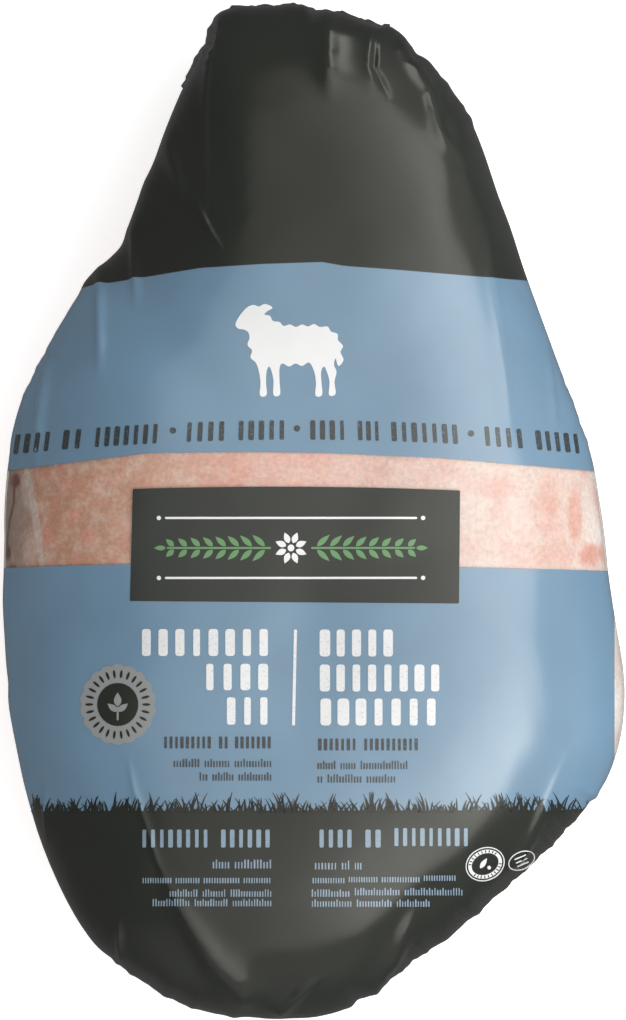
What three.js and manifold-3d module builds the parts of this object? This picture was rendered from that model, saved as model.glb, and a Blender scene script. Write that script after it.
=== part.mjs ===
// A boneless leg of lamb in a tight, printed shrink bag, lying on its back.
// Millimetres, +Z up. The origin is under the middle of the pack, on the surface it lies on,
// and +Y runs along the pack towards the narrow shank end.
import * as THREE from 'three';
import { mergeVertices } from 'three/addons/utils/BufferGeometryUtils.js';
import Module from 'manifold-3d';

const wasm = await Module();
wasm.setup();

// Driving sizes of the packed leg
const crownHeight = 86; // top of the thick rump end
const shankHeight = 64; // top of the narrow end, before it rounds off
const girthShare = 0.44; // height of the widest line, as a share of the height there
const restShare = 0.64; // how far out from the middle the flat underside reaches
const aroundSteps = 120;
const ringSteps = 40;

// Plan outline, clockwise from the left corner of the shank end. The points are closer
// together at the corners and at the hollow above the left shoulder.
const outlinePoints = [
  [-27.3, 136.5], [-13.8, 139.8], [3.6, 138.7], [21.2, 133.2], [40.3, 114.6],
  [51.8, 86.1], [65.5, 46.9], [77.2, 14.7], [82.4, -24.7], [86.0, -52.3],
  [81.0, -74.3], [62.8, -96.4], [36.9, -118.4], [11.0, -136.1], [-9.9, -139.9],
  [-32.0, -137.5], [-55.7, -123.9], [-70.0, -101.9], [-80.5, -71.6], [-85.8, -24.7],
  [-84.1, 15.4], [-75.8, 42.0], [-64.4, 61.0], [-53.7, 70.6], [-44.6, 95.1],
  [-33.3, 122.7],
];
const middle = new THREE.Vector2(2, -14); // the crown, which the outline is scaled towards

// How square the pack's sections are: 2 is an ellipse, and more is boxier
const acrossFullness = 2.35;
const lengthwiseFullness = 5;
const undersideFullness = 3.2;

// Folds of the film: a rounded ridge from one plan point to another that fades at both ends
const filmFolds = [
  { from: [6, 135], to: [6, 112], width: 3.2, height: 1.5 },
  { from: [16, 132], to: [15, 116], width: 3.0, height: 1.2 },
  { from: [30, 122], to: [43, 86], width: 3.8, height: 1.3 },
  { from: [43, 86], to: [54, 36], width: 4.0, height: 0.9 },
  { from: [-38, 105], to: [-25, 73], width: 3.2, height: 1.2 },
  { from: [-58, 66], to: [-58, 30], width: 3.4, height: 1.1 },
  { from: [75, -60], to: [55, -99], width: 3.8, height: 1.2 },
  { from: [30, -110], to: [20, -128], width: 3.4, height: 1.4 },
  { from: [-38, -104], to: [-15, -133], width: 4.2, height: 1.3 },
];

// Soft forms of the meat under the film: a swell (plus) or a hollow (minus)
const meatForms = [
  { at: [-50, 44], reach: 21, height: 3.0 }, // shoulder beside the notch
  { at: [-46, 81], reach: 16, height: -4.0 }, // hollow that runs in from the notch
  { at: [14, 81], reach: 33, height: 2.5 }, // shank muscle
  { at: [38, -50], reach: 38, height: 3.0 }, // rump muscle
  { at: [-44, -68], reach: 29, height: -2.0 },
  { at: [-8, -108], reach: 29, height: 2.0 },
];

// Tails of the bag beyond its two seals, laid back against the flanks of the underside.
// start and end are places round the outline, from 0 to 1.
const sealTails = [
  { start: 0.957, end: 1.112, sweep: 0.27, crinkles: 8 },
  { start: 0.505, end: 0.665, sweep: 0.26, crinkles: 10 },
];
const tailLift = 1.9; // how far a tail stands proud of the flank
const tailRoot = 1.3; // how deep it is sunk in the pack
const crinkleHeight = 0.5;
const tailAlongSteps = 40;
const tailAcrossSteps = 4;

const outline = new THREE.CatmullRomCurve3(
  outlinePoints.map(([x, y]) => new THREE.Vector3(x, y, 0)), true, 'centripetal',
);

function smoothStep(low, high, value) {
  const t = THREE.MathUtils.clamp((value - low) / (high - low), 0, 1);
  return t * t * (3 - 2 * t);
}

// Height of the back line at a place along the pack, without the rounding of the ends
function ridgeHeight(y) {
  return THREE.MathUtils.lerp(crownHeight, shankHeight, smoothStep(-100, 165, y));
}

function girthHeight(y) {
  return girthShare * ridgeHeight(y);
}

// How much a fold lifts the surface at a plan point
function foldLift(fold, x, y) {
  const from = new THREE.Vector2(...fold.from);
  const along = new THREE.Vector2(...fold.to).sub(from);
  const reach = along.length();
  along.normalize();
  const offset = new THREE.Vector2(x, y).sub(from);
  const run = offset.dot(along) / reach;
  const side = offset.cross(along) / fold.width;
  const fade = smoothStep(-0.12, 0.15, run) * (1 - smoothStep(0.6, 1.1, run));
  return fold.height * fade * Math.exp(-side * side);
}

function meatLift(form, x, y) {
  const away = Math.hypot(x - form.at[0], y - form.at[1]) / form.reach;
  return form.height * Math.exp(-away * away);
}

// A point of the pack: place round the outline, and tilt from the top (0) over the
// widest line (PI / 2) to the underside (PI)
function packPoint(place, tilt) {
  const rim = outline.getPoint(((place % 1) + 1) % 1);
  const toRim = new THREE.Vector2(rim.x, rim.y).sub(middle);
  const lengthwise = Math.abs(toRim.y) / toRim.length();
  const over = tilt < Math.PI / 2;
  const topFullness = THREE.MathUtils.lerp(acrossFullness, lengthwiseFullness, lengthwise ** 2);
  const fullness = over ? topFullness : undersideFullness;
  const share = Math.pow(Math.sin(tilt), 2 / fullness);
  const rise = Math.pow(Math.abs(Math.cos(tilt)), over ? 0.92 : 0.8);
  const x = middle.x + toRim.x * share;
  const y = middle.y + toRim.y * share;
  const girth = girthHeight(y);
  if (over) {
    const forms = meatForms.reduce((sum, form) => sum + meatLift(form, x, y), 0);
    const folds = filmFolds.reduce((sum, fold) => sum + foldLift(fold, x, y), 0);
    const edgeFade = Math.pow(rise, 0.5);
    return new THREE.Vector3(x, y, girth + (ridgeHeight(y) - girth) * rise + (forms + folds) * edgeFade);
  }
  const sunk = Math.pow(1 - Math.pow(restShare, fullness), 0.4); // rise where the flat begins
  return new THREE.Vector3(x, y, Math.max(0, girth * (1 - rise / sunk)));
}

function closedGeometry(geometry) {
  geometry.deleteAttribute('normal');
  geometry.deleteAttribute('uv');
  return mergeVertices(geometry, 1e-4);
}

function toManifold(geometry) {
  return new wasm.Manifold(new wasm.Mesh({
    numProp: 3,
    vertProperties: new Float32Array(geometry.attributes.position.array),
    triVerts: new Uint32Array(geometry.index.array),
  }));
}

function fromManifold(solid) {
  const { vertProperties, triVerts } = solid.getMesh();
  const geometry = new THREE.BufferGeometry();
  geometry.setAttribute('position', new THREE.BufferAttribute(new Float32Array(vertProperties), 3));
  geometry.setIndex(new THREE.BufferAttribute(new Uint32Array(triVerts), 1));
  return geometry;
}

// The leg itself: a sphere whose poles are the crown and the middle of the underside,
// pulled out to the outline
function legGeometry() {
  const geometry = new THREE.SphereGeometry(1, aroundSteps, ringSteps);
  geometry.rotateX(Math.PI / 2);
  const positions = geometry.attributes.position;
  const columns = aroundSteps + 1;
  for (let i = 0; i < positions.count; i += 1) {
    const place = (i % columns) / aroundSteps;
    const tilt = (Math.floor(i / columns) / ringSteps) * Math.PI;
    const point = packPoint(-place, tilt);
    positions.setXYZ(i, point.x, point.y, point.z);
  }
  return closedGeometry(geometry);
}

// Outward direction of the flank at a place and tilt
function flankNormal(place, tilt) {
  const step = 0.004;
  const along = packPoint(place + step, tilt).sub(packPoint(place - step, tilt));
  const down = packPoint(place, tilt + step).sub(packPoint(place, tilt - step));
  return along.cross(down).normalize();
}

// One tail: a flat strip that leaves the pack just under its widest line and follows the
// flank down, waved along its length
function tailGeometry(tail) {
  const geometry = new THREE.BoxGeometry(1, 1, 1, tailAlongSteps, tailAcrossSteps, 1);
  const positions = geometry.attributes.position;
  for (let i = 0; i < positions.count; i += 1) {
    const along = positions.getX(i) + 0.5;
    const across = positions.getY(i) + 0.5;
    const isOutside = positions.getZ(i) > 0;
    const place = THREE.MathUtils.lerp(tail.start, tail.end, along);
    const corner = Math.sqrt(Math.sin(Math.PI * THREE.MathUtils.clamp(along, 0.02, 0.98)));
    const tilt = Math.PI * (0.52 + across * tail.sweep * (0.75 + 0.25 * corner));
    const turns = along * tail.crinkles * 2 * Math.PI;
    const wave = Math.sin(turns) + 0.5 * Math.sin(0.83 * turns);
    const proud = (tailLift + crinkleHeight * wave) * smoothStep(0, 0.35, across) - 0.4 * (1 - across);
    const offset = isOutside ? proud : -tailRoot;
    const point = packPoint(place, tilt).addScaledVector(flankNormal(place, tilt), offset);
    positions.setXYZ(i, point.x, point.y, Math.max(0.5, point.z));
  }
  return closedGeometry(geometry);
}

// Puts the middle of the finished pack over the origin
function centred(geometry) {
  geometry.computeBoundingBox();
  const centre = geometry.boundingBox.getCenter(new THREE.Vector3());
  return geometry.translate(-centre.x, -centre.y, -geometry.boundingBox.min.z);
}

function packSolid() {
  return sealTails.reduce(
    (solid, tail) => solid.add(toManifold(tailGeometry(tail))),
    toManifold(legGeometry()),
  );
}

const printedFilm = new THREE.MeshStandardMaterial({ color: 0x7f9db4, roughness: 0.32, metalness: 0 });
const packedLeg = new THREE.Mesh(centred(fromManifold(packSolid())), printedFilm);
packedLeg.name = 'packed_leg';

const pack = new THREE.Group();
pack.add(packedLeg);

export default pack;
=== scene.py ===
import math
import random

import bpy
import numpy as np
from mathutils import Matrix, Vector
from mathutils.bvhtree import BVHTree


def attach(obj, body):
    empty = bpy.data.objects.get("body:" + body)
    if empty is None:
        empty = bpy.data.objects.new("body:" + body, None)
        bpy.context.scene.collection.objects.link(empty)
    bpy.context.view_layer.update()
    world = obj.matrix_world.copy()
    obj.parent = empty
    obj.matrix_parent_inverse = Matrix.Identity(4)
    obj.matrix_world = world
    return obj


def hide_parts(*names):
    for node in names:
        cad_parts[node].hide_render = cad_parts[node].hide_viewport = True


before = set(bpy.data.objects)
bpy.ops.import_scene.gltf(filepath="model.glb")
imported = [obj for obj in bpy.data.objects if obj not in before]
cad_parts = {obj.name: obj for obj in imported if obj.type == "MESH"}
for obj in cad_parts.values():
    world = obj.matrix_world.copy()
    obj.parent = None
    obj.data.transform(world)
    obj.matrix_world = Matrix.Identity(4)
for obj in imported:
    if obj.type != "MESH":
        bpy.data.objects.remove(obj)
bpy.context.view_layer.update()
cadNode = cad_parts["packed_leg"]

# The print is laid out in pixels of the camera's picture: x to the right, y down
picture = {
    "pixel": 0.00027559,  # metres to a pixel at the height of the pack's widest line
    "middle": (312.0, 510.25),  # pixel over the origin
    "size": (626, 1020),
    "rimHeight": 0.035,
}
cameraSetup = {"lens": 200.0, "sensor": 36.0}

millimetre = 0.001
pixel = picture["pixel"]
rimDistance = picture["size"][1] * pixel * cameraSetup["lens"] / cameraSetup["sensor"]
eye = Vector((
    (picture["size"][0] / 2 - picture["middle"][0]) * pixel,
    (picture["middle"][1] - picture["size"][1] / 2) * pixel,
    picture["rimHeight"] + rimDistance,
))


def deselectAll():
    bpy.ops.object.select_all(action="DESELECT")


def makeActive(piece):
    deselectAll()
    piece.select_set(True)
    bpy.context.view_layer.objects.active = piece


def copyOf(piece, name):
    made = piece.copy()
    made.data = piece.data.copy()
    made.name = made.data.name = name
    for key in list(made.keys()):
        del made[key]
    made.parent = None
    made.data.materials.clear()
    bpy.context.scene.collection.objects.link(made)
    return made


def applyModifier(piece, kind, **settings):
    makeActive(piece)
    modifier = piece.modifiers.new(kind.title(), kind)
    for key, value in settings.items():
        setattr(modifier, key, value)
    bpy.ops.object.modifier_apply(modifier=modifier.name)


def editAll(piece):
    makeActive(piece)
    bpy.ops.object.mode_set(mode="EDIT")
    bpy.ops.mesh.select_all(action="SELECT")


def readVectors(parts, key):
    values = np.empty(len(parts) * 3, np.float32)
    parts.foreach_get(key, values)
    return values.reshape(-1, 3).astype(float)


def readPoints(piece):
    return readVectors(piece.data.vertices, "co")


def readNormals(piece):
    return readVectors(piece.data.vertex_normals, "vector")


def faceMiddles(piece):
    return readVectors(piece.data.polygons, "center")


def faceNormals(piece):
    return readVectors(piece.data.polygons, "normal")


def movePoints(piece, points):
    piece.data.vertices.foreach_set("co", points.astype(np.float32).ravel())
    piece.data.update()


def keepOverFloor(piece, height):
    points = readPoints(piece)
    points[:, 2] = np.maximum(points[:, 2], height)
    movePoints(piece, points)


def writeAttribute(piece, name, values):
    layer = piece.data.attributes.new(name, "FLOAT", "POINT")
    layer.data.foreach_set("value", values.astype(np.float32))


def smoothStep(low, high, values):
    t = np.clip((values - low) / (high - low), 0, 1)
    return t * t * (3 - 2 * t)


# Pixels of the picture at which points are seen
def picturePlaces(points):
    scale = rimDistance / (eye.z - points[:, 2])
    across = (points[:, 0] - eye.x) * scale + eye.x
    up = (points[:, 1] - eye.y) * scale + eye.y
    return np.column_stack((
        across / pixel + picture["middle"][0],
        picture["middle"][1] - up / pixel,
    ))


# Point at the height of the widest line that is seen at a pixel
def rimPoint(x, y):
    return Vector((
        (x - picture["middle"][0]) * pixel,
        (picture["middle"][1] - y) * pixel,
        picture["rimHeight"],
    ))


bagShape = {
    "voxel": 0.0018,
    "smoothing": 18,
    "swellSize": 0.03,
    "swell": 0.0012,
    "overFloor": 0.0002,
    # reach of the cuts beside folds, in half widths, and the widest half width counted
    "firstCut": (2.1, 6.5),
    "secondCut": (1.3, 5.0),
    "lowestFacing": -0.35,  # rise of the normals of the lowest faces that are cut
    "foldRounding": 5,
}


def makeBody():
    piece = copyOf(cadNode, "bag_body")
    editAll(piece)
    bpy.ops.mesh.remove_doubles(threshold=1e-5)
    bpy.ops.object.mode_set(mode="OBJECT")
    applyModifier(piece, "REMESH", mode="VOXEL", voxel_size=bagShape["voxel"], use_smooth_shade=True)
    applyModifier(piece, "SMOOTH", factor=0.5, iterations=bagShape["smoothing"])
    swells = bpy.data.textures.new("meatSwells", "CLOUDS")
    swells.noise_scale = bagShape["swellSize"]
    swells.noise_depth = 1
    applyModifier(piece, "DISPLACE", texture=swells, strength=bagShape["swell"], mid_level=0.5)
    keepOverFloor(piece, bagShape["overFloor"])
    return piece


# Folds of the film, as seen from above: a run of pixels, half widths in pixels at its start
# and end, and heights in millimetres at even steps along it. A crease has heights below 0.
filmFolds = [
    ([(190, 190), (212, 233), (223, 250)], (3, 2.5), (0, 0.9, 0.7, 0)),
    ([(136, 200), (135, 250), (136, 310)], (5, 5), (0, 1.1, 1, 0)),
    ([(376, 34), (374, 67), (391, 100)], (4, 3), (-0.2, -0.5, -0.3, 0)),
    ([(404, 50), (430, 92), (440, 130), (463, 162), (474, 205)], (7, 6), (0.6, 0.9, 0.8, 0.6, 0)),
    ([(440, 112), (452, 146), (473, 186)], (7, 6), (0, -0.5, -0.5, 0)),
    ([(488, 202), (491, 276), (498, 310), (508, 392), (513, 442)], (6, 6), (0, 0.4, 0.35, 0.3, 0)),
    ([(545, 340), (550, 374), (557, 435)], (4, 4), (0, 0.5, 0.5, 0)),
    ([(100, 265), (100, 305), (100, 343), (99, 376)], (5, 5), (0.6, 1.3, 1.1, 0)),
    ([(48, 350), (44, 392), (40, 417), (36, 470)], (5, 5), (0, 1.5, 1.3, 0)),
    ([(577, 737), (560, 774), (545, 808), (529, 842), (511, 876)], (4, 7.5),
     (0, 0.15, 0.35, 0.8, 1.2, 0.4)),
    ([(423, 900), (407, 930), (391, 962), (376, 992)], (6.5, 9.5), (0, 0.9, 1.8, 2)),
    ([(321, 976), (300, 992), (280, 1010)], (4.5, 7), (0.3, 1.5, 1.7)),
    ([(46, 776), (46, 850)], (3, 3), (0, 0.7, 0)),
    ([(118, 912), (120, 960)], (3.4, 3.4), (0, 0.8, 0.6)),
    ([(127, 755), (134, 790), (146, 824), (157, 860), (171, 890)], (3.2, 3.2), (0, 0.4, 0.5, 0)),
    ([(160, 868), (176, 900), (194, 930), (214, 960), (244, 992)], (6, 14), (0, 1, 1.5, 1.9, 2)),
]

# Pleats that rise straight up, at the left of the shank and below its end
pleats = [
    ([(220, 16), (207, 60), (204, 105), (204, 190), (204, 240)], (5, 4), (1.7, 1.7, 0.9, 0.3, 0)),
    ([(157, 112), (169, 156), (185, 202)], (11, 5), (1.5, 4.2, 2.4, 0.3)),
    ([(310, 14), (310, 62)], (7, 5), (0.5, 0.35, 0.15, 0)),
    ([(327, 10), (327, 55), (330, 106)], (13, 7), (1.3, 1.2, 0.9, 0.6, 0.3, 0)),
    ([(378, 22), (374, 60), (370, 98)], (10, 6), (0.9, 0.75, 0.5, 0.3, 0.15, 0)),
]

# Small crumples of the film across the outline
rimCrumples = [
    ([(196, 24), (216, 34)], (3, 3), (0.5, 0.5)),
    ([(192, 38), (212, 44)], (2.6, 2.6), (-0.5, -0.5)),
    ([(190, 46), (210, 53)], (3, 3), (0.6, 0.6)),
    ([(186, 56), (206, 62)], (3.4, 3.4), (0.5, 0.5)),
    ([(291, -6), (292, 16)], (9, 6), (0.7, 0.3)),
    ([(303, -6), (303, 16)], (5, 4), (0.8, 0.4)),
    ([(317, -4), (316, 24)], (7, 5), (-1.3, -0.4)),
    ([(424, 46), (410, 60)], (7, 6), (-0.5, -0.3)),
    ([(480, 110), (462, 126)], (7, 6), (0.7, 0.4)),
    ([(112, 972), (124, 952)], (6, 5), (0.6, 0.3)),
    ([(232, 1024), (240, 1000)], (6, 5), (0.5, 0.3)),
    ([(600, 800), (580, 786)], (5, 5), (0.5, 0.3)),
]

# Where the film is drawn in or stands out along the outline
rimShapes = [
    ([(236, 2), (218, 10), (206, 36), (195, 54), (188, 72)], (14, 14),
     (0.9, 0.7, -1.8, -1.5, -0.6)),
    ([(86, 276), (97, 268), (112, 258)], (12, 12), (0.8, 1.3, 0.8)),
    ([(74, 298), (50, 338), (32, 368)], (14, 14), (-0.8, -1.3, -0.7)),
    ([(146, 186), (128, 228)], (14, 14), (0.7, 0.8)),
    ([(5, 460), (0, 520), (-1, 600), (3, 680)], (16, 16), (-0.5, -1.1, -0.8, -0.9)),
    ([(362, 12), (378, 17)], (9, 9), (-1, -1)),
    ([(392, 28), (402, 36)], (8, 8), (1.4, 1)),
    ([(588, 806), (556, 842), (500, 898), (462, 930)], (14, 14), (-0.5, -1.1, -1.5, -0.6)),
    ([(430, 956), (400, 978), (368, 998)], (14, 14), (-1, -0.9, -0.4)),
    ([(362, 1000), (335, 1012), (312, 1018)], (14, 14), (-0.1, 0.3, 0.3)),
    ([(112, 964), (139, 984), (165, 1000), (205, 1014), (250, 1020)], (14, 14),
     (-0.8, -0.9, -0.5, -0.6, -0.6)),
]

# Stretches of the outline with a row of fine crumples: start, end, count, height
crumpleRows = [
    ((594, 800), (460, 930), 11, 0.40),
    ((452, 938), (340, 1010), 8, 0.45),
    ((112, 960), (200, 1012), 6, 0.30),
    ((66, 312), (18, 408), 6, 0.22),
    ((412, 44), (470, 116), 6, 0.30),
    ((560, 380), (590, 450), 4, 0.20),
]


def fineCrumples():
    draw = random.Random(31)
    folds = []
    for start, end, count, height in crumpleRows:
        start, end = Vector(start), Vector(end)
        across = (end - start).normalized().orthogonal() * 12
        for i in range(count):
            spot = start.lerp(end, (i + draw.uniform(0.2, 0.8)) / count)
            size = height * draw.uniform(0.4, 1.3) * (1 if i % 2 else -1)
            width = draw.uniform(2.6, 5.5)
            folds.append(([tuple(spot - across), tuple(spot + across)], (width, width), (size, size)))
    return folds


# Distance of places from a run of straight stretches, and how far along it they are
def runDistance(places, run):
    nearest = np.full(len(places), np.inf)
    share = np.zeros(len(places))
    stops = np.array(run, float)
    lengths = np.hypot(*np.diff(stops, axis=0).T)
    travelled = 0.0
    for start, end, length in zip(stops[:-1], stops[1:], lengths):
        part = np.clip(((places - start) @ (end - start)) / length ** 2, 0, 1)
        away = np.hypot(*(places - start - part[:, None] * (end - start)).T)
        closer = away < nearest
        nearest = np.where(closer, away, nearest)
        share = np.where(closer, (travelled + part * length) / lengths.sum(), share)
        travelled += length
    return nearest, share


def widthAlong(halfWidths, share):
    return halfWidths[0] + (halfWidths[1] - halfWidths[0]) * share


# Height of folds over the plain film at places of the picture
def foldHeights(places, folds):
    total = np.zeros(len(places))
    for run, halfWidths, heights in folds:
        away, share = runDistance(places, run)
        height = np.interp(share, np.linspace(0, 1, len(heights)), heights) * millimetre
        total += height * np.exp(-((away / widthAlong(halfWidths, share)) ** 2))
    return total


# How far folds and crumples move the film along its normals
def filmRelief(places, normals):
    facing = smoothStep(-0.05, 0.55, normals[:, 2])
    rim = smoothStep(-0.7, -0.3, normals[:, 2]) * (1 - smoothStep(0.35, 0.75, normals[:, 2]))
    across = foldHeights(places, rimCrumples + rimShapes + fineCrumples())
    return foldHeights(places, filmFolds) * facing + across * rim


# Goes into edit mode with the picked faces selected
def editFaces(piece, picked):
    makeActive(piece)
    mesh = piece.data
    for parts in (mesh.vertices, mesh.edges):
        parts.foreach_set("select", np.zeros(len(parts), bool))
    mesh.polygons.foreach_set("select", picked)
    bpy.ops.object.mode_set(mode="EDIT")
    bpy.ops.mesh.select_mode(type="FACE")


def cutFaces(piece, picked, cuts):
    editFaces(piece, picked)
    bpy.ops.mesh.subdivide(number_cuts=cuts)
    bpy.ops.mesh.vertices_smooth(factor=0.5, repeat=bagShape["foldRounding"])
    bpy.ops.object.mode_set(mode="OBJECT")


def flipFaces(piece, picked):
    editFaces(piece, picked)
    bpy.ops.mesh.flip_normals()
    bpy.ops.object.mode_set(mode="OBJECT")


# Cuts the faces near folds that are seen from above or from the side
def cutAtFolds(piece, folds, reach, widest):
    places = picturePlaces(faceMiddles(piece))
    near = np.zeros(len(places), bool)
    for run, halfWidths, heights in folds:
        near |= runDistance(places, run)[0] < min(max(halfWidths), widest) * reach
    cutFaces(piece, near & (faceNormals(piece)[:, 2] > bagShape["lowestFacing"]), 1)


# Edges of the print's fields, in pixels of the picture
printEdges = {
    "top": [(-40, 296), (82, 288), (110, 283), (200, 268), (262, 264), (322, 262), (345, 266),
            (400, 270), (530, 281), (660, 292)],
    "windowTop": [(-40, 476), (10, 470), (150, 453), (250, 452), (330, 453), (440, 458),
                  (595, 471), (660, 476)],
    "windowFoot": [(-40, 570), (2, 568), (60, 566), (130, 564), (460, 567), (609, 571), (660, 572)],
    "grass": [(-40, 811), (660, 810)],
    # height in metres at which the print ends on each side, along the pack
    "right": [(0, 0.004), (300, 0.012), (480, 0.018), (540, 0.023), (580, 0.029), (612, 0.035),
              (690, 0.039), (772, 0.0365), (800, 0.030), (835, 0.023), (1020, 0.010)],
    "rightmost": 614.6,  # the print's straight right edge, where the pack is widest
    "left": [(0, 0.002), (300, 0.010), (480, 0.016), (690, 0.020), (830, 0.014), (1020, 0.006)],
}


def along(stops, values):
    stops = np.array(stops, float)
    return np.interp(values, stops[:, 0], stops[:, 1])


# Height of a point over the floor, less how far it lies in under the pack
def wrapHeights(points):
    bins = np.linspace(points[:, 1].min(), points[:, 1].max(), 90)
    index = np.clip(np.searchsorted(bins, points[:, 1]) - 1, 0, len(bins) - 2)
    right = np.array([points[index == i, 0].max() for i in range(len(bins) - 1)])
    left = np.array([points[index == i, 0].min() for i in range(len(bins) - 1)])
    centres = (bins[:-1] + bins[1:]) / 2
    inset = np.minimum(
        np.interp(points[:, 1], centres, right) - points[:, 0],
        points[:, 0] - np.interp(points[:, 1], centres, left),
    )
    under = 1 - smoothStep(0.012, 0.024, points[:, 2])
    return points[:, 2] - under * np.maximum(inset, 0)


def markPrint(piece, points):
    x, y = picturePlaces(points).T
    writeAttribute(piece, "topField", along(printEdges["top"], x) - y)
    writeAttribute(piece, "clearWindow", np.minimum(
        y - along(printEdges["windowTop"], x), along(printEdges["windowFoot"], x) - y,
    ))
    writeAttribute(piece, "grassField", y - along(printEdges["grass"], x))
    onRight = smoothStep(-0.01, 0.01, points[:, 0])
    ends = onRight * along(printEdges["right"], y) + (1 - onRight) * along(printEdges["left"], y)
    sides = (wrapHeights(points) - ends) / pixel
    writeAttribute(piece, "printSide", np.minimum(sides, printEdges["rightmost"] - x))


def newMaterial(name):
    material = bpy.data.materials.new(name)
    material.use_nodes = True
    tree = material.node_tree
    tree.nodes.clear()
    output = tree.nodes.new("ShaderNodeOutputMaterial")
    return material, tree, output.inputs["Surface"]


# Adds a node and gives its outputs; an input is set, or linked where its value is an output
def addNode(tree, kind, inputs={}, **settings):
    node = tree.nodes.new("ShaderNode" + kind)
    for key, value in settings.items():
        setattr(node, key, value)
    for name, value in inputs.items():
        if isinstance(value, bpy.types.NodeSocket):
            tree.links.new(value, node.inputs[name])
        else:
            node.inputs[name].default_value = value
    return node.outputs


# Joins values in turn by one operation
def combine(tree, operation, total, *values):
    for value in values:
        total = addNode(tree, "Math", {0: total, 1: value}, operation=operation)["Value"]
    return total


def mixColours(tree, share, first, second):
    colours = [(*colour, 1.0) if isinstance(colour, tuple) else colour for colour in (first, second)]
    return addNode(tree, "Mix", {0: share, 6: colours[0], 7: colours[1]}, data_type="RGBA")[2]


def mixShaders(tree, share, first, second):
    return addNode(tree, "MixShader", {"Fac": share, 1: first, 2: second})["Shader"]


def scaleColour(tree, colour, scale):
    return addNode(tree, "VectorMath", {0: colour, "Scale": scale}, operation="SCALE")["Vector"]


def splitVector(tree, vector):
    return addNode(tree, "SeparateXYZ", {"Vector": vector})


def attributeNode(tree, name):
    return addNode(tree, "Attribute", attribute_name=name)["Fac"]


def rampNode(tree, value, low, high, fromValue=0.0, toValue=1.0):
    inputs = {"Value": value, "From Min": low, "From Max": high, "To Min": fromValue, "To Max": toValue}
    return addNode(tree, "MapRange", inputs)["Result"]


def noiseNode(tree, scale, detail, roughness=0.5, where=(0, 0, 0)):
    inputs = {"Location": where, "Vector": addNode(tree, "TexCoord")["Object"]}
    place = addNode(tree, "Mapping", inputs)["Vector"]
    inputs = {"Scale": scale, "Detail": detail, "Roughness": roughness, "Vector": place}
    return addNode(tree, "TexNoise", inputs)["Fac"]


def bumpNode(tree, height, distance):
    return addNode(tree, "Bump", {"Distance": distance, "Height": height})["Normal"]


# Patterns of colour: the noise (scale, detail, roughness, place), its range and its levels
patterns = {
    "ink": ((45.0, 3.0), (0.3, 0.7), (0.95, 1.05)),
    "worn": ((1500.0, 3.0, 0.7), (0.56, 0.64), (0.0, 1.0)),
    "patches": ((85.0, 4.0, 0.62), (0.45, 0.68), (0.0, 0.55)),
    "flecks": ((210.0, 3.0, 0.65, (0.3, 0.1, 0.2)), (0.45, 0.65), (0.0, 0.5)),
    "marks": ((260.0, 3.0, 0.6), (0.3, 0.7), (0.5, 1.3)),
    "grain": ((800.0, 3.0, 0.7), (0.3, 0.7), (0.84, 1.12)),
}


def patternNode(tree, key):
    noise, span, levels = patterns[key]
    return rampNode(tree, noiseNode(tree, *noise), *span, *levels)


filmFinish = {
    "roughness": 0.19,
    "refraction": 1.6,
    "tint": (1.0, 0.975, 0.90, 1.0),  # of the gloss
    "clear": (0.97, 0.97, 0.96, 1.0),
    "bareGloss": (0.07, 0.8),  # seen straight on and at a slant
    "slant": 5.0,
    "edgeBlur": 0.35,  # half width of a print edge, in pixels
    "wrinkleSize": 120.0,
    "wrinkle": 0.00004,
}

# Colour, wear and shine of each ink, and the ink under it where that isn't blue
inkColours = {
    "blue": ((0.160, 0.284, 0.408), 0.0, 1.0),
    "dark": ((0.0185, 0.0215, 0.0175), 0.0, 0.5),
    "white": ((0.92, 0.92, 0.92), 0.0, 1.0),
    "title": ((0.88, 0.88, 0.88), 0.3, 1.0),
    "panel": ((0.038, 0.042, 0.0375), 0.0, 0.45),
    "faded": ((0.032, 0.040, 0.044), 0.35, 0.8),
    "paleBlue": ((0.26, 0.36, 0.45), 0.2, 0.6, "dark"),
    "grey": ((0.31, 0.32, 0.32), 0.0, 0.6),
    "green": ((0.15, 0.33, 0.14), 0.0, 0.6, "dark"),
}


# A gloss ink under film, its colour a little uneven
def inkShader(tree, colour, shine):
    wrinkles = noiseNode(tree, filmFinish["wrinkleSize"], 0.0)
    return addNode(tree, "BsdfPrincipled", {
        "Base Color": scaleColour(tree, colour, patternNode(tree, "ink")),
        "Roughness": filmFinish["roughness"],
        "IOR": filmFinish["refraction"],
        "Specular IOR Level": shine,
        "Specular Tint": filmFinish["tint"],
        "Normal": bumpNode(tree, wrinkles, filmFinish["wrinkle"]),
    })["BSDF"]


# Clear film with a gloss that grows at a slant
def bareShader(tree):
    clear = addNode(tree, "BsdfTransparent", {"Color": filmFinish["clear"]})["BSDF"]
    gloss = addNode(tree, "BsdfGlossy", {"Roughness": filmFinish["roughness"]})["BSDF"]
    facing = addNode(tree, "LayerWeight", {"Blend": 0.5})["Facing"]
    steep = combine(tree, "POWER", facing, filmFinish["slant"])
    return mixShaders(tree, rampNode(tree, steep, 0.0, 1.0, *filmFinish["bareGloss"]), clear, gloss)


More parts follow.
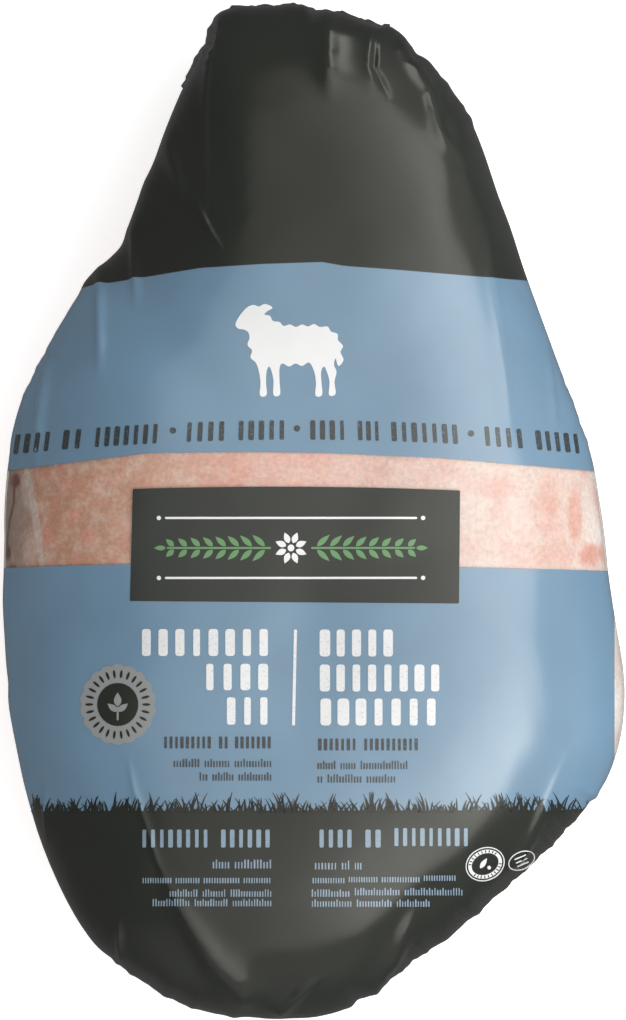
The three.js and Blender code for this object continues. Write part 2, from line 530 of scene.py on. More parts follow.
def filmMaterial():
    material, tree, surface = newMaterial("printedShrinkFilm")

    def field(key, outside=0.0, inside=1.0):
        blur = filmFinish["edgeBlur"]
        return rampNode(tree, attributeNode(tree, key), -blur, blur, outside, inside)

    def plainInk(key):
        colour, worn, shine = inkColours[key]
        return inkShader(tree, colour, shine)

    dark = combine(tree, "MAXIMUM", field("topField"), field("grassField"))
    ink = mixShaders(tree, dark, plainInk("blue"), plainInk("dark"))
    printed = combine(tree, "MULTIPLY", field("clearWindow", 1.0, 0.0), field("printSide"))
    tree.links.new(mixShaders(tree, printed, bareShader(tree), ink), surface)
    return material


def makeFilm(body):
    piece = copyOf(body, "shrink_film")
    folds = filmFolds + pleats
    cutAtFolds(piece, folds + rimCrumples + fineCrumples(), *bagShape["firstCut"])
    cutAtFolds(piece, folds, *bagShape["secondCut"])
    points = readPoints(piece)
    markPrint(piece, points)
    normals = readNormals(piece)
    places = picturePlaces(points)
    points += normals * filmRelief(places, normals)[:, None]
    points[:, 2] += foldHeights(places, pleats) * smoothStep(-0.05, 0.4, normals[:, 2])
    movePoints(piece, points)
    piece.data.materials.append(filmMaterial())
    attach(piece, "root")
    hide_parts("packed_leg")
    return piece


# Flat shapes of ink: outlines in pixels, cut small, laid on the film and given a thickness
inkLayer = {
    "cut": 5.0,  # pixels between the cuts that let a shape follow the film
    "lift": 0.00010,
    "step": 0.00008,  # between inks that lie over one another
    "thickness": 0.00014,
}


def addShape(outline):
    bpy.ops.mesh.primitive_circle_add(vertices=len(outline), radius=0.01, fill_type="NGON")
    piece = bpy.context.object
    for vertex, (x, y) in zip(piece.data.vertices, outline):
        vertex.co = rimPoint(x, y)
    return piece


def joinShapes(name, outlines):
    deselectAll()
    pieces = [addShape(outline) for outline in outlines]
    for piece in pieces:
        piece.select_set(True)
    bpy.context.view_layer.objects.active = pieces[0]
    bpy.ops.object.join()
    piece = bpy.context.object
    piece.name = piece.data.name = name
    return piece


# Cuts flat shapes by a square grid, so that they can bend
def cutSmall(piece, step):
    points = readPoints(piece)
    editAll(piece)
    bpy.ops.mesh.quads_convert_to_tris(ngon_method="BEAUTY")
    for axis, way in enumerate(((1, 0, 0), (0, 1, 0))):
        spot = points[:, axis].min() + step
        while spot < points[:, axis].max():
            bpy.ops.mesh.select_all(action="SELECT")
            bpy.ops.mesh.bisect(plane_co=Vector(way) * spot, plane_no=way)
            spot += step
    bpy.ops.mesh.select_all(action="SELECT")
    bpy.ops.mesh.quads_convert_to_tris()
    bpy.ops.object.mode_set(mode="OBJECT")


def layOn(piece, skin, lift):
    points = readPoints(piece)
    for i, point in enumerate(points):
        spot, normal = skin.ray_cast(eye, Vector(point) - eye)[:2]
        if spot is None:
            spot, normal = skin.find_nearest(Vector(point))[:2]
        points[i] = spot + normal * lift
    movePoints(piece, points)


def makeInk(name, outlines, skin, material, inksUnder):
    piece = joinShapes(name, outlines)
    cutSmall(piece, inkLayer["cut"] * pixel)
    flipFaces(piece, faceNormals(piece)[:, 2] < 0)
    layOn(piece, skin, inkLayer["lift"] + inksUnder * inkLayer["step"])
    applyModifier(piece, "SOLIDIFY", thickness=inkLayer["thickness"], offset=-1.0)
    makeActive(piece)
    bpy.ops.object.shade_smooth_by_angle(angle=math.radians(40))
    piece.data.materials.append(material)
    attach(piece, "root")
    print(name, len(piece.data.polygons))


# Outline of a rounded bar about its middle; lean shifts the top to the right
def bar(x, y, width, height, corner, lean=0.0, rise=0.0):
    points = []
    parts = 4 if corner > 0.8 else 2
    for turn, (sideX, sideY) in enumerate(((1, -1), (-1, -1), (-1, 1), (1, 1))):
        for part in range(parts):
            angle = math.radians(90 * turn + 90 * part / (parts - 1))
            across = sideX * (width / 2 - corner) + corner * math.cos(angle)
            down = sideY * (height / 2 - corner) - corner * math.sin(angle)
            points.append((x + across - lean * down / height, y + down - rise * across))
    return points


def ellipse(x, y, reachX, reachY, steps, tilt=0.0):
    points = []
    for step in range(steps):
        angle = math.tau * step / steps
        across, down = reachX * math.cos(angle), reachY * math.sin(angle)
        points.append((
            x + across * math.cos(tilt) - down * math.sin(tilt),
            y + across * math.sin(tilt) + down * math.cos(tilt),
        ))
    return points


# A pointed leaf from its foot, of a length in a direction (degrees, 90 is up)
def leaf(x, y, length, direction, width):
    run = math.radians(direction)
    points = []
    for side, shares in ((1, range(8)), (-1, range(8, 0, -1))):
        for share in shares:
            t = share / 8
            out = side * width / 2 * math.sin(math.pi * t ** 0.8)
            points.append((
                x + length * t * math.cos(run) + out * math.sin(run),
                y - length * t * math.sin(run) + out * math.cos(run),
            ))
    return points


# An ink with small worn specks where the ink under it shows through
def inkMaterial(key):
    material, tree, surface = newMaterial(key + "Ink")
    colour, worn, shine, *under = inkColours[key]
    specks = combine(tree, "MULTIPLY", patternNode(tree, "worn"), worn)
    shade = mixColours(tree, specks, colour, inkColours[under[0] if under else "blue"][0])
    tree.links.new(inkShader(tree, shade, shine), surface)
    return material


# A closed smooth curve through places
def smoothOutline(stops):
    steps = 4
    points = []
    for i in range(len(stops)):
        a, b, c, d = (Vector(stops[(i + k) % len(stops)]) for k in (-1, 0, 1, 2))
        for step in range(steps):
            t = step / steps
            bend = (2 * a - 5 * b + 4 * c - d) * t ** 2 + (3 * b - a - 3 * c + d) * t ** 3
            points.append(tuple(0.5 * (2 * b + (c - a) * t + bend)))
    return points


# A woolly sheep in profile: its face, ear, curly back, tail, legs, belly and chest
sheepStops = [
    (235.5, 324), (239, 317), (243.5, 311), (248.5, 306.5), (254, 305), (259, 306.5), (265, 304),
    (272.5, 307.5), (267, 311.5), (264.5, 314.5), (270, 316), (273, 321), (279.5, 322), (283.5, 326),
    (290, 324.5), (296, 327), (302, 324.5), (308, 326.5), (314, 324), (320, 327), (327.5, 326.5),
    (331, 331.5), (337.5, 334), (338, 340), (343, 346), (340.5, 352), (343.5, 360), (338.5, 366),
    (335.5, 358.5), (334, 365), (336.5, 372), (334.5, 382), (335.5, 394), (329, 395), (329.5, 382),
    (327, 372), (324, 366.5), (321, 372), (321.5, 383), (322, 395), (315.5, 395.5), (316, 383),
    (314, 371), (309, 362.5), (302, 366), (295.5, 363.5), (289, 366.5), (282.5, 363.5),
    (279.5, 368), (279.5, 381), (280, 394.5), (273.5, 395), (273.5, 381), (271.5, 371),
    (269, 366.5), (266.5, 372), (266, 383), (266.5, 395), (260, 395.5), (260.5, 383), (259, 372),
    (256, 363), (250.5, 357.5), (252, 350.5), (247.5, 345), (249.5, 338), (248, 332), (243.5, 329.5),
    (238, 328.5),
]

# Rows of upright marks: middle height, mark height, pitch, the part of it that a mark fills,
# unevenness of the tops, and the start and end of each word
markRows = {
    "slogan": [
        (430, 19.5, 9.6, 0.47, 0, [(12, 52), (60, 84), (93, 160), (184, 227), (236, 287), (308, 347),
                                   (356, 381), (389, 460), (482, 525), (534, 581)]),
    ],
    "title": [
        (642.5, 27, 16.6, 0.49, 0, [(138, 272)]),
        (677, 26.5, 16.6, 0.50, 0, [(201, 272)]),
        (711, 27.5, 16.6, 0.50, 0, [(223, 272)]),
        (643, 27, 16.6, 0.56, 0, [(317, 396)]),
        (678, 27, 16.6, 0.56, 0, [(317, 443)]),
        (712, 27, 16.6, 0.56, 0, [(317, 440)]),
    ],
    "small": [
        (742.5, 12, 5.6, 0.54, 0, [(163, 212), (218, 229), (234, 272)]),
        (744.5, 12, 5.6, 0.54, 0, [(317, 357), (363, 419)]),
        (763, 8.5, 2.9, 0.54, 0.25, [(173, 200), (204, 230), (234, 272)]),
        (776.5, 8.5, 2.9, 0.54, 0.25, [(199, 208), (212, 234), (238, 272)]),
        (765, 8.5, 2.9, 0.54, 0.25, [(317, 336), (340, 356), (360, 408)]),
        (778.5, 8.5, 2.9, 0.54, 0.25, [(317, 323), (327, 362), (366, 396)]),
    ],
    "pale": [
        (838.5, 18, 8.6, 0.46, 0, [(140, 210), (219, 272), (317, 354), (363, 383)]),
        (837, 18, 8.6, 0.46, 0, [(392, 470)]),
        (864, 9, 3.1, 0.46, 0.25, [(212, 230), (234, 272)]),
        (865, 9, 3.1, 0.46, 0.25, [(314, 337), (341, 350), (354, 362)]),
        (880.5, 5.5, 2.6, 0.46, 0, [(142, 172), (175, 200), (203, 240), (243, 271), (312, 345)]),
        (879.5, 5.5, 2.6, 0.46, 0, [(348, 378), (381, 420)]),
        (878, 5.5, 2.6, 0.46, 0, [(423, 456)]),
        (893, 7.5, 2.7, 0.46, 0.25, [(169, 198), (202, 226), (230, 272), (311, 350)]),
        (891.5, 7.5, 2.7, 0.46, 0.25, [(354, 400), (404, 463)]),
        (902.5, 7.5, 2.7, 0.46, 0.25, [(152, 190), (194, 228), (232, 272)]),
        (903, 7.5, 2.7, 0.46, 0.25, [(311, 352), (356, 392), (396, 430)]),
    ],
}
markSeeds = {"slogan": 11, "title": 5, "small": 4, "pale": 4}
sloganSway = {"bow": 14.5, "lean": 3.0}
sloganDots = [(173, 430.5), (297, 428.5), (471, 433.5)]
titleDivider = {"x": 294.5, "y": 677.5, "width": 3.0, "height": 96, "corner": 1.0, "lean": 2.0}


# Words of upright marks, in rows that can bow down at their ends, with marks that lean inward
def markOutlines(key, bow=0.0, lean=0.0):
    draw = random.Random(markSeeds[key])
    shapes = []
    for y, height, pitch, share, uneven, words in markRows[key]:
        for start, end in words:
            count = max(2, round((end - start) / pitch))
            step = (end - start) / count
            for i in range(count):
                x = start + step * (i + 0.5)
                width = step * share * draw.uniform(0.8, 1.2)
                cut = uneven * height if draw.random() < 0.7 else 0.0
                middle = y + bow * ((x - 300) / 285) ** 2 + cut / 2
                shapes.append(bar(x, middle, width, height - cut, width * 0.3, lean * (300 - x) / 300))
    return shapes


panel = {"corners": [(133, 489), (460, 490.5), (459, 603.5), (130, 601)], "bow": 3.0, "round": 1.2}


# The dark label: four sides between its corners, the upper one bowed, with small round corners
def panelOutline():
    points = []
    corners = [Vector(corner) for corner in panel["corners"]]
    for i, corner in enumerate(corners):
        before, after = corners[i - 1], corners[(i + 1) % 4]
        inward = (before - corner).normalized()
        onward = (after - corner).normalized()
        for part in range(5):
            t = part / 4
            points.append(tuple(corner + panel["round"] * ((1 - t) ** 2 * inward + t ** 2 * onward)))
        if i == 0:
            for part in range(1, 12):
                t = part / 12
                spot = corner.lerp(after, t)
                points.append((spot.x, spot.y - panel["bow"] * 4 * t * (1 - t)))
    return [points]


panelArt = {
    "middle": (291.0, 548.0),
    "branch": 104.0,
    "leaves": 8,
    "rules": (518.0, 578.0),
    "ruleReach": 126.0,
}


# A leafy branch to each side, round a small flower, between two thin rules
def branchOutlines():
    x, y = panelArt["middle"]
    shapes = []
    for side in (1, -1):
        shapes.append(bar(x + side * (panelArt["branch"] / 2 + 20), y, panelArt["branch"], 2.0, 0.9))
        for i in range(panelArt["leaves"]):
            foot = x + side * (26 + i * panelArt["branch"] / panelArt["leaves"])
            size = 17 - 0.9 * i
            for up in (1, -1):
                direction = 90 - side * 90 + side * up * 42
                shapes.append(leaf(foot, y - up * 1.8, size, direction, 5.6))
        shapes.append(leaf(x + side * (panelArt["branch"] + 21), y, 12, 90 - side * 90, 5.0))
    return shapes


def flowerOutlines():
    x, y = panelArt["middle"]
    shapes = [ellipse(x, y, 3.4, 3.4, 16)]
    for petal in range(8):
        direction = 360 / 8 * petal + 22.5
        run = math.radians(direction)
        shapes.append(leaf(x + 5.2 * math.cos(run), y - 5.2 * math.sin(run), 11.5, direction, 6.2))
    for rule in panelArt["rules"]:
        shapes.append(bar(x, rule, 2 * panelArt["ruleReach"], 2.2, 1.0))
        for side in (1, -1):
            shapes.append(ellipse(x + side * (panelArt["ruleReach"] + 6), rule, 2.2, 2.2, 12))
    return shapes


seal = {
    "middle": (118.0, 704.5),
    "reach": (37.0, 39.5),
    "scallops": 18,
    "scallop": 2.0,
    "ticks": 26,
    "tickRing": (28.5, 30.5),
    "tick": (4.2, 1.3),
    "spot": (20.5, 21.5),
}


def sealDisc():
    x, y = seal["middle"]
    points = []
    steps = seal["scallops"] * 8
    for step in range(steps):
        angle = math.tau * step / steps
        out = seal["scallop"] * (abs(math.sin(angle * seal["scallops"] / 2)) - 0.5)
        points.append((
            x + (seal["reach"][0] + out) * math.cos(angle),
            y + (seal["reach"][1] + out) * math.sin(angle),
        ))
    return [points]


# A ring of ticks and a round spot, on the disc
def sealMarks():
    x, y = seal["middle"]
    shapes = []
    for tick in range(seal["ticks"]):
        angle = math.tau * tick / seal["ticks"]
        across, down = seal["tickRing"]
        spot = (x + across * math.cos(angle), y + down * math.sin(angle))
        shapes.append(ellipse(*spot, *seal["tick"], 10, angle))
    shapes.append(ellipse(x, y, *seal["spot"], 40))
    return shapes


# A three-leaved sprig over the spot
def sealSprig():
    x, y = seal["middle"]
    leaves = [leaf(x, y + 2, 14, 90, 7.5), leaf(x, y + 7, 13, 38, 6.0), leaf(x, y + 7, 13, 142, 6.0)]
    return [bar(x, y + 9, 1.8, 14, 0.8), *leaves]


stampShapes = {"ring": (485.0, 864.0, 20.0, 16.5), "oval": (521.5, 860.5, 14.0, 9.0), "tilt": -0.42}


# A ring as a closed strip, in pieces that each bend little
def ring(x, y, reachX, reachY, width, tilt):
    steps = 36
    outer = ellipse(x, y, reachX, reachY, steps, tilt)
    inner = ellipse(x, y, reachX - width, reachY - width, steps, tilt)
    shapes = []
    for i in range(0, steps, 3):
        run = [(i + k) % steps for k in range(4)]
        shapes.append([outer[k] for k in run] + [inner[k] for k in reversed(run)])
    return shapes


def stampOutlines():
    tilt = stampShapes["tilt"]
    x, y, reachX, reachY = stampShapes["ring"]
    shapes = ring(x, y, reachX, reachY, 0.9, tilt) + ring(x, y, reachX - 2.6, reachY - 2.6, 3.4, tilt)
    shapes += [leaf(x - 5, y + 4, 12, 55, 4.6), ellipse(x + 4, y + 3.5, 1.8, 1.8, 12)]
    x, y, reachX, reachY = stampShapes["oval"]
    shapes += ring(x, y, reachX, reachY, 0.8, tilt)
    for offset in (-3.4, 0.1, 3.6):
        shapes.append(bar(x + 0.4 * offset, y + offset, 11.5, 1.0, 0.4, 0.0, 0.42))
    return shapes


# Dark ticks on the broad ring
def stampTicks():
    x, y, reachX, reachY = stampShapes["ring"]
    tilt = stampShapes["tilt"]
    spots = ellipse(x, y, reachX - 4.3, reachY - 4.3, 26, tilt)
    return [
        ellipse(spotX, spotY, 1.5, 0.55, 8, math.atan2(spotY - y, spotX - x))
        for i, (spotX, spotY) in enumerate(spots) if i % 13 not in (0, 1, 12)
    ]


grass = {
    "left": 30.0,
    "right": 587.0,
    "foot": 812.5,
    "pitch": 1.8,
    "seed": 23,
    "tufts": 0.10,  # share of the spots with three long blades
    "long": (13, 21),
    "short": (6, 15),
    "swing": 8,
    "width": (1.7, 3.0),
}


def grassOutlines():
    draw = random.Random(grass["seed"])
    shapes = []
    x = grass["left"]
    while x < grass["right"]:
        tuft = draw.random() < grass["tufts"]
        for blade in range(3 if tuft else 1):
            length = draw.uniform(*grass["long" if tuft else "short"])
            swing = draw.uniform(-grass["swing"], grass["swing"])
            width = draw.uniform(*grass["width"])
            foot = x + draw.uniform(-2, 2)
            left, right = [], []
            for part in range(5):
                t = part / 4
                middle = foot + swing * t ** 1.8
                half = width / 2 * (1 - t) ** 0.7 + 0.15
                left.append((middle - half, grass["foot"] - length * t))
                right.append((middle + half, grass["foot"] - length * t))
            shapes.append(left + right[::-1])
        x += grass["pitch"] * draw.uniform(0.7, 1.3)
    return shapes


sloganOutlines = markOutlines("slogan", **sloganSway)
sloganOutlines += [ellipse(x, y, 3.2, 3.2, 16) for x, y in sloganDots]

# Pieces of the print: outlines, ink, and how many pieces lie under each
printPieces = {
    "label_panel": (panelOutline(), "panel", 0),
    "label_branch": (branchOutlines(), "green", 1),
    "label_flower": (flowerOutlines(), "white", 1),
    "sheep_figure": ([smoothOutline(sheepStops)], "white", 0),
    "slogan_marks": (sloganOutlines, "faded", 0),
    "title_blocks": ([bar(**titleDivider)] + markOutlines("title"), "title", 0),
    "small_marks": (markOutlines("small"), "faded", 0),
    "pale_marks": (markOutlines("pale"), "paleBlue", 0),
    "seal_disc": (sealDisc(), "grey", 0),
    "seal_marks": (sealMarks(), "dark", 1),
    "seal_sprig": (sealSprig(), "grey", 2),
    "stamps": (stampOutlines(), "white", 0),
    "stamp_ticks": (stampTicks(), "dark", 1),
    "grass_fringe": (grassOutlines(), "dark", 0),
}


def makePrint(skin):
    inks = {}
    for name, (outlines, key, inksUnder) in printPieces.items():
        if key not in inks:
            inks[key] = inkMaterial(key)
        makeInk(name, outlines, skin, inks[key], inksUnder)


# Tails of the bag beyond its seals, laid back against the flanks: directions in degrees from
# the middle of the pack, round it (azimuth) and down it, and the number of big crinkles
tailShapes = {
    "shank_tail": {"azimuth": (106.0, 82.5), "down": (0.5, 16.5), "crinkles": 9, "seed": 3},
    "rump_tail": {"azimuth": (-86.5, -134.5), "down": (0.5, 17.5), "crinkles": 12, "seed": 8},
}
tailFinish = {
    "middle": (0.002, -0.014, 0.036),
    "castFrom": 0.3,  # outside the pack
    "steps": (150, 34),
    "waves": [(1, 0.6), (1.7, 0.35), (2.9, 0.22), (4.6, 0.12)],  # waves to a crinkle, and their size
    "proud": 0.0007,
    "lift": 0.0013,  # of the free edge
    "crinkle": 0.0008,
    "seal": (0.20, 0.36),  # where the pressed seal runs across the tail
    "ribs": 5,
    "rib": 0.00022,
    "root": 0.25,  # share of the tail that rises out of the pack
    "sunk": 0.0003,  # depth of the inner edge in the film
    "overFloor": 0.0004,
    "print": 0.55,  # share of the tail that is printed
    "thickness": 0.00028,
}


def makeTail(name, skin, material):
    shape = tailShapes[name]
    draw = random.Random(shape["seed"])
    alongSteps, acrossSteps = tailFinish["steps"]
    deselectAll()
    bpy.ops.mesh.primitive_grid_add(x_subdivisions=alongSteps, y_subdivisions=acrossSteps, size=1.0)
    piece = bpy.context.object
    piece.name = piece.data.name = name
    waves = [
        (shape["crinkles"] * factor * draw.uniform(0.9, 1.1), draw.uniform(0, math.tau), size)
        for factor, size in tailFinish["waves"]
    ]
    middle = Vector(tailFinish["middle"])
    sealStart, sealEnd = tailFinish["seal"]
    points = readPoints(piece)
    run, down = points[:, 0] + 0.5, 0.5 - points[:, 1]
    for i, (u, v) in enumerate(zip(run, down)):
        wave = sum(size * math.sin(math.tau * turns * u + start) for turns, start, size in waves)
        ragged = 1 - 0.05 * (1 + wave) - 0.22 * (abs(2 * u - 1) ** 6)
        azimuth = math.radians(np.interp(u, (0, 1), shape["azimuth"]) + 0.6 * v * wave)
        drop = math.radians(np.interp(v * ragged, (0, 1), shape["down"]))
        way = Vector((
            math.cos(azimuth) * math.cos(drop), math.sin(azimuth) * math.cos(drop), -math.sin(drop),
        ))
        spot, normal = skin.ray_cast(middle + way * tailFinish["castFrom"], -way)[:2]
        free = min(1.0, v / tailFinish["root"])
        sealed = sealStart < v < sealEnd
        rise = tailFinish["proud"] * free + tailFinish["lift"] * v ** 3 - tailFinish["sunk"] * (1 - free)
        rise += tailFinish["crinkle"] * wave * free * (0.35 if sealed else 0.5 + 0.5 * v)
        if sealed:
            turns = tailFinish["ribs"] * (v - sealStart) / (sealEnd - sealStart)
            rise += tailFinish["rib"] * math.cos(math.tau * turns)
        points[i] = spot + normal * rise
    points[:, 2] = np.maximum(points[:, 2], tailFinish["overFloor"])
    movePoints(piece, points)
    inside = np.full(len(points), 50.0)
    writeAttribute(piece, "topField", inside)
    writeAttribute(piece, "grassField", inside)
    writeAttribute(piece, "clearWindow", -inside)
    writeAttribute(piece, "printSide", (tailFinish["print"] - down) * 60)
    if np.mean(np.sum(readNormals(piece) * (points - np.array(tailFinish["middle"])), axis=1)) < 0:
        flipFaces(piece, np.ones(len(piece.data.polygons), bool))
    applyModifier(piece, "SOLIDIFY", thickness=tailFinish["thickness"], offset=0.0)
    makeActive(piece)
    bpy.ops.object.shade_smooth_by_angle(angle=math.radians(60))
    piece.data.materials.append(material)
    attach(piece, "root")


meatShape = {
    "gap": 0.00028,  # under the film
    "lumpSize": 0.012,
    "lumps": 0.0003,
    "overFloor": 0.0006,
    "window": ((30, 45), (515, 75)),  # middle and reach of the cut faces, across and down
    "windowCuts": 2,
}
fatTones = {
    "left": (0.585, 0.315, 0.20),
    "middle": (0.93, 0.56, 0.46),
    "right": (0.85, 0.67, 0.60),
    # painted highlight: near white along the steep right flank, where the lamps leave the meat dim
    "paintedFlankHighlight": (0.97, 0.93, 0.91),
    "rosy": (0.80, 0.36, 0.28),
    "pale": (0.88, 0.70, 0.61),
    "lean": (0.42, 0.30, 0.24),
    "paleStreak": (0.74, 0.67, 0.62),
    "blood": (0.20, 0.028, 0.020),
}

# Where each tone takes over from the one to its left, in metres across the pack; the last is a painted
# highlight along the right flank
fatZones = {"middle": (-0.07, -0.01), "right": (-0.005, 0.045), "paintedFlankHighlight": (0.073, 0.080)}
fatFinish = {"strongest": 0.92, "roughness": 0.45, "bumpSize": 320.0, "bump": 0.0002}

# Marks behind the clear window, in pixels of the picture: soft spots with their reach across and down, or
# runs with their half width, and how strong each is
meatSpots = {
    "lean": [((14, 520), (20, 62), 1.0), ((4, 470), (14, 30), 0.6)],
    # paleStreak: a pale line and patches at the left of the window, coloured near white over the meat
    "paleStreak": [((31, 552), (9, 16), 0.45), ((28, 490), (8, 24), 0.35)],
    "rosy": [((575, 518), (8, 34), 0.75), ((592, 556), (16, 14), 0.95), ((548, 495), (12, 26), 0.4),
             ((538, 560), (26, 9), 0.35), ((500, 488), (26, 10), 0.3), ((88, 538), (11, 10), 0.7),
             ((74, 514), (9, 10), 0.5), ((48, 536), (10, 14), 0.6), ((70, 484), (10, 8), 0.5),
             ((44, 476), (14, 9), 0.4), ((124, 528), (8, 10), 0.4), ((80, 560), (14, 6), 0.6)],
    "blood": [((15, 481), (6, 9), 1.0), ((8, 552), (3.4, 9), 1.0), ((12, 566), (5, 2.4), 0.8),
              ((89, 544), (1.6, 1.2), 0.7)],
}
meatRuns = {
    "paleStreak": [([(26, 466), (32, 498), (36, 528), (42, 566)], (3.0, 2.2), 0.7),
                 ([(35, 500), (40, 530), (43, 562)], (0.9, 0.9), 1.0)],
    "blood": [([(14, 488), (14, 502), (9, 524), (7, 548)], (1.3, 1.1), 0.75)],
}


def markMeat(piece):
    places = picturePlaces(readPoints(piece))
    above = smoothStep(-0.1, 0.1, readNormals(piece)[:, 2])
    for key, spots in meatSpots.items():
        marks = np.zeros(len(places))
        for middle, reach, strength in spots:
            away = np.hypot(*((places - middle) / reach).T)
            marks = np.maximum(marks, strength * (1 - smoothStep(0.45, 1.15, away)))
        for run, halfWidths, strength in meatRuns.get(key, []):
            away, share = runDistance(places, run)
            away = away / widthAlong(halfWidths, share)
            marks = np.maximum(marks, strength * (1 - smoothStep(0.5, 1.5, away)))
        writeAttribute(piece, key, marks * above)


# Fat with a mottle at three scales, and the marks laid over it
def meatMaterial():
    material, tree, surface = newMaterial("lambFat")
    x = splitVector(tree, addNode(tree, "TexCoord")["Object"])["X"]
    base = fatTones["left"]
    # the last tone across the pack is a painted highlight along the right flank
    for key, span in fatZones.items():
        base = mixColours(tree, rampNode(tree, x, *span), base, fatTones[key])
    base = mixColours(tree, patternNode(tree, "patches"), base, fatTones["rosy"])
    base = mixColours(tree, patternNode(tree, "flecks"), base, fatTones["pale"])
    uneven = patternNode(tree, "marks")
    for key in ("rosy", "lean", "paleStreak", "blood"):
        mark = combine(tree, "MULTIPLY", attributeNode(tree, key), uneven)
        base = mixColours(tree, combine(tree, "MINIMUM", mark, fatFinish["strongest"]), base, fatTones[key])
    bumps = noiseNode(tree, fatFinish["bumpSize"], 3.0)
    shader = addNode(tree, "BsdfPrincipled", {
        "Base Color": scaleColour(tree, base, patternNode(tree, "grain")),
        "Roughness": fatFinish["roughness"],
        "Normal": bumpNode(tree, bumps, fatFinish["bump"]),
    })
    tree.links.new(shader["BSDF"], surface)
    return material


def makeMeat(body):
    piece = copyOf(body, "lamb_leg")
    picked = faceNormals(piece)[:, 2] > -0.1
    for spots, (middle, reach) in zip(picturePlaces(faceMiddles(piece)).T, meatShape["window"]):
        picked &= np.abs(spots - middle) < reach
    cutFaces(piece, picked, meatShape["windowCuts"])
    lumps = bpy.data.textures.new("meatLumps", "CLOUDS")
    lumps.noise_scale = meatShape["lumpSize"]
    points = readPoints(piece)
    normals = readNormals(piece)
    drawnIn = np.minimum(filmRelief(picturePlaces(points), normals), 0) - meatShape["gap"]
    movePoints(piece, points + normals * drawnIn[:, None])
    applyModifier(piece, "DISPLACE", texture=lumps, strength=meatShape["lumps"], mid_level=1.0)
    keepOverFloor(piece, meatShape["overFloor"])
    markMeat(piece)
    piece.data.materials.append(meatMaterial())
    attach(piece, "root")


body = makeBody()
print("body", len(body.data.polygons))
film = makeFilm(body)
makeMeat(body)
bpy.data.objects.remove(body)
print("film and meat")
skin = BVHTree.FromObject(film, bpy.context.evaluated_depsgraph_get())
makePrint(skin)
print("print")
for tail in tailShapes:
    makeTail(tail, skin, film.data.materials[0])
print("tails")

# The overhead softbox, in metres: its brightness grows to the right and to the near side.
# Beyond it the studio glows dimly, most at the right, which gives the film its broad sheen.
lighting = {
    "box": {"left": -1.60, "right": 2.60, "near": -2.75, "far": 2.35, "height": 1.15},
    "radiance": 1.20,
    "leftPart": (-1.60, -0.30, 0.06, 0.36),
    "rightPart": (-0.30, 1.40, 0.0, 1.24),
    "fadeRight": (1.50, 2.60, 1.0, 0.7),
    "nearEnd": (-2.75, -0.80, -1.10, 0.0),
    "nearPart": (-0.60, 0.55, 1.53, 0.82),
    "farPart": (0.72, 1.70, 0.0, 0.1),
    "cornerX": (1.75, 1.95, 1.0, 0.2),  # dim corner at the near right
    "cornerY": (-0.35, 0.10, 0.2, 1.0),
    "farLeft": (-0.95, -0.70, 0.0, 1.0),  # dark corner at the far left, across a slant line
    "slant": -0.43,
    # the studio's glow by direction: to the right, less of it at the near right, and at the near end
    "rightGlow": (0.15, 0.70, 0.0, 0.45),
    "rightFade": (-0.20, -0.80, 1.0, 0.15),
    "nearGlow": (-0.70, -0.95, 0.0, 0.28),
    "rise": (-0.50, 0.10, 0.1, 1.0),
    "everywhere": (-0.50, 0.10, 0.11, 0.175),  # from below the horizon to above it
    "card": {"at": (0.98, 2.63, 0.29), "size": (0.44, 1.60), "radiance": 2.1},  # at the far end
    "backdrop": 0.85,
    "floorSize": 6.0,
    "floorGlow": (0.30, 0.62),  # to the pack and to the camera; keeps the shadow pale
    "floorFinish": {
        "Base Color": (0.9, 0.9, 0.9, 1.0),
        "Roughness": 0.9,
        "Specular IOR Level": 0.1,
        "Emission Color": (1.0, 1.0, 1.0, 1.0),
    },
}


# One value for what the camera sees and another for everything else
def cameraRamp(tree, otherwise, seen):
    return rampNode(tree, addNode(tree, "LightPath")["Is Camera Ray"], 0.0, 1.0, otherwise, seen)


def lightRamp(tree, key, value):
    return rampNode(tree, value, *lighting[key])


def makeStage():
    deselectAll()
    bpy.ops.mesh.primitive_plane_add(size=lighting["floorSize"])
    floor = bpy.context.object
    floor.name = "floor"
    material, tree, surface = newMaterial("paleFloor")
    shader = addNode(tree, "BsdfPrincipled", {
        **lighting["floorFinish"],
        "Emission Strength": cameraRamp(tree, *lighting["floorGlow"]),
    })
    tree.links.new(shader["BSDF"], surface)
    floor.data.materials.append(material)
    floor.visible_glossy = False  # the studio's dark surroundings are what the gloss shows


def addAreaLight(name, at, size, radiance):
    light = bpy.data.lights.new(name, "AREA")
    light.shape = "RECTANGLE"
    light.size, light.size_y = size
    light.energy = radiance * math.pi * size[0] * size[1]
    piece = bpy.data.objects.new(name, light)
    piece.location = at
    piece.visible_camera = False
    bpy.context.scene.collection.objects.link(piece)
    return piece


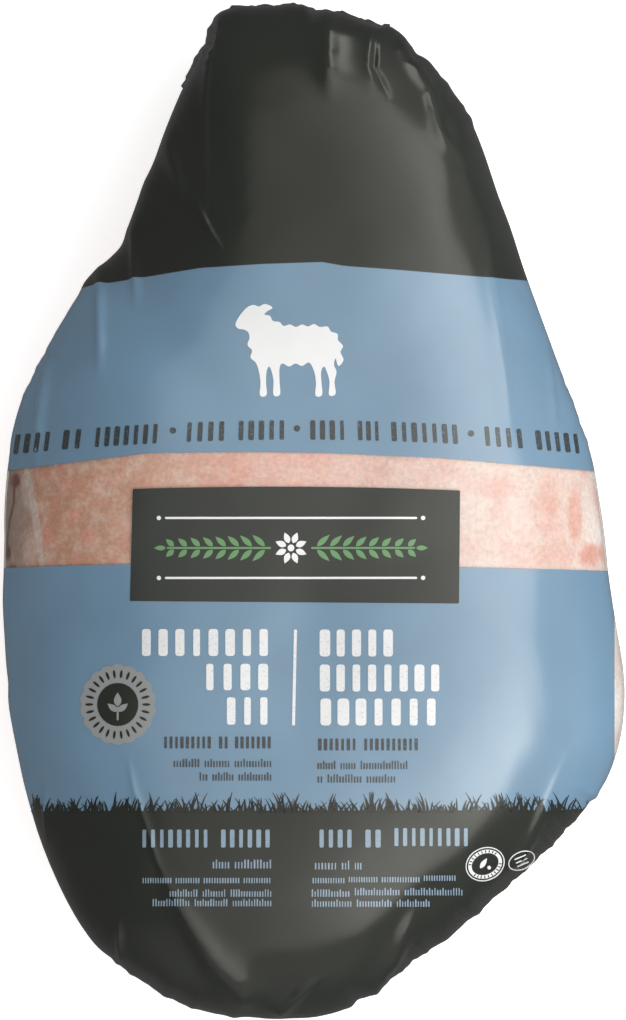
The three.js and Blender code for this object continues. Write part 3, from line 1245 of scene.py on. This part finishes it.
def makeSoftbox():
    box = lighting["box"]
    width, depth = box["right"] - box["left"], box["far"] - box["near"]
    middle = ((box["left"] + box["right"]) / 2, (box["near"] + box["far"]) / 2, box["height"])
    light = addAreaLight("softbox", middle, (width, depth), lighting["radiance"]).data
    light.use_nodes = True
    tree = light.node_tree
    place = splitVector(tree, addNode(tree, "NewGeometry")["Parametric"])
    x = rampNode(tree, place["X"], 0.0, 1.0, box["left"], box["right"])
    y = rampNode(tree, place["Y"], 0.0, 1.0, box["near"], box["far"])
    across = combine(tree, "ADD", lightRamp(tree, "leftPart", x), lightRamp(tree, "rightPart", x))
    parts = [lightRamp(tree, key, y) for key in ("nearEnd", "nearPart", "farPart")]
    lengthwise = combine(tree, "ADD", *parts)
    corner = combine(tree, "MAXIMUM", lightRamp(tree, "cornerX", x), lightRamp(tree, "cornerY", y))
    slanted = combine(tree, "ADD", x, combine(tree, "MULTIPLY", y, lighting["slant"]))
    level = combine(
        tree, "MULTIPLY", across, lightRamp(tree, "fadeRight", x), lengthwise, corner,
        lightRamp(tree, "farLeft", slanted),
    )
    tree.links.new(level, tree.nodes["Emission"].inputs["Strength"])


def makeCard():
    card = lighting["card"]
    piece = addAreaLight("fillCard", card["at"], card["size"], card["radiance"])
    piece.rotation_euler = (-Vector(card["at"])).to_track_quat("-Z", "Y").to_euler()


def makeWorld():
    world = bpy.data.worlds.new("studio")
    world.use_nodes = True
    tree = world.node_tree
    background = tree.nodes["Background"]
    background.inputs["Color"].default_value = (1.0, 1.0, 1.0, 1.0)
    way = splitVector(tree, addNode(tree, "TexCoord")["Generated"])
    toRight = combine(
        tree, "MULTIPLY", lightRamp(tree, "rightGlow", way["X"]), lightRamp(tree, "rightFade", way["Y"]),
    )
    sides = combine(tree, "ADD", toRight, lightRamp(tree, "nearGlow", way["Y"]))
    glow = combine(tree, "MULTIPLY", sides, lightRamp(tree, "rise", way["Z"]))
    level = combine(tree, "ADD", glow, lightRamp(tree, "everywhere", way["Z"]))
    seen = cameraRamp(tree, 0.0, lighting["backdrop"])
    tree.links.new(combine(tree, "MAXIMUM", level, seen), background.inputs["Strength"])
    bpy.context.scene.world = world


def makeCamera():
    camera = bpy.data.cameras.new("camera")
    camera.lens = cameraSetup["lens"]
    camera.sensor_width = cameraSetup["sensor"]
    piece = bpy.data.objects.new("camera", camera)
    piece.location = eye
    bpy.context.scene.collection.objects.link(piece)
    bpy.context.scene.camera = piece


makeStage()
makeSoftbox()
makeCard()
makeWorld()
makeCamera()
bpy.context.scene.view_settings.view_transform = "Standard"
print("stage")
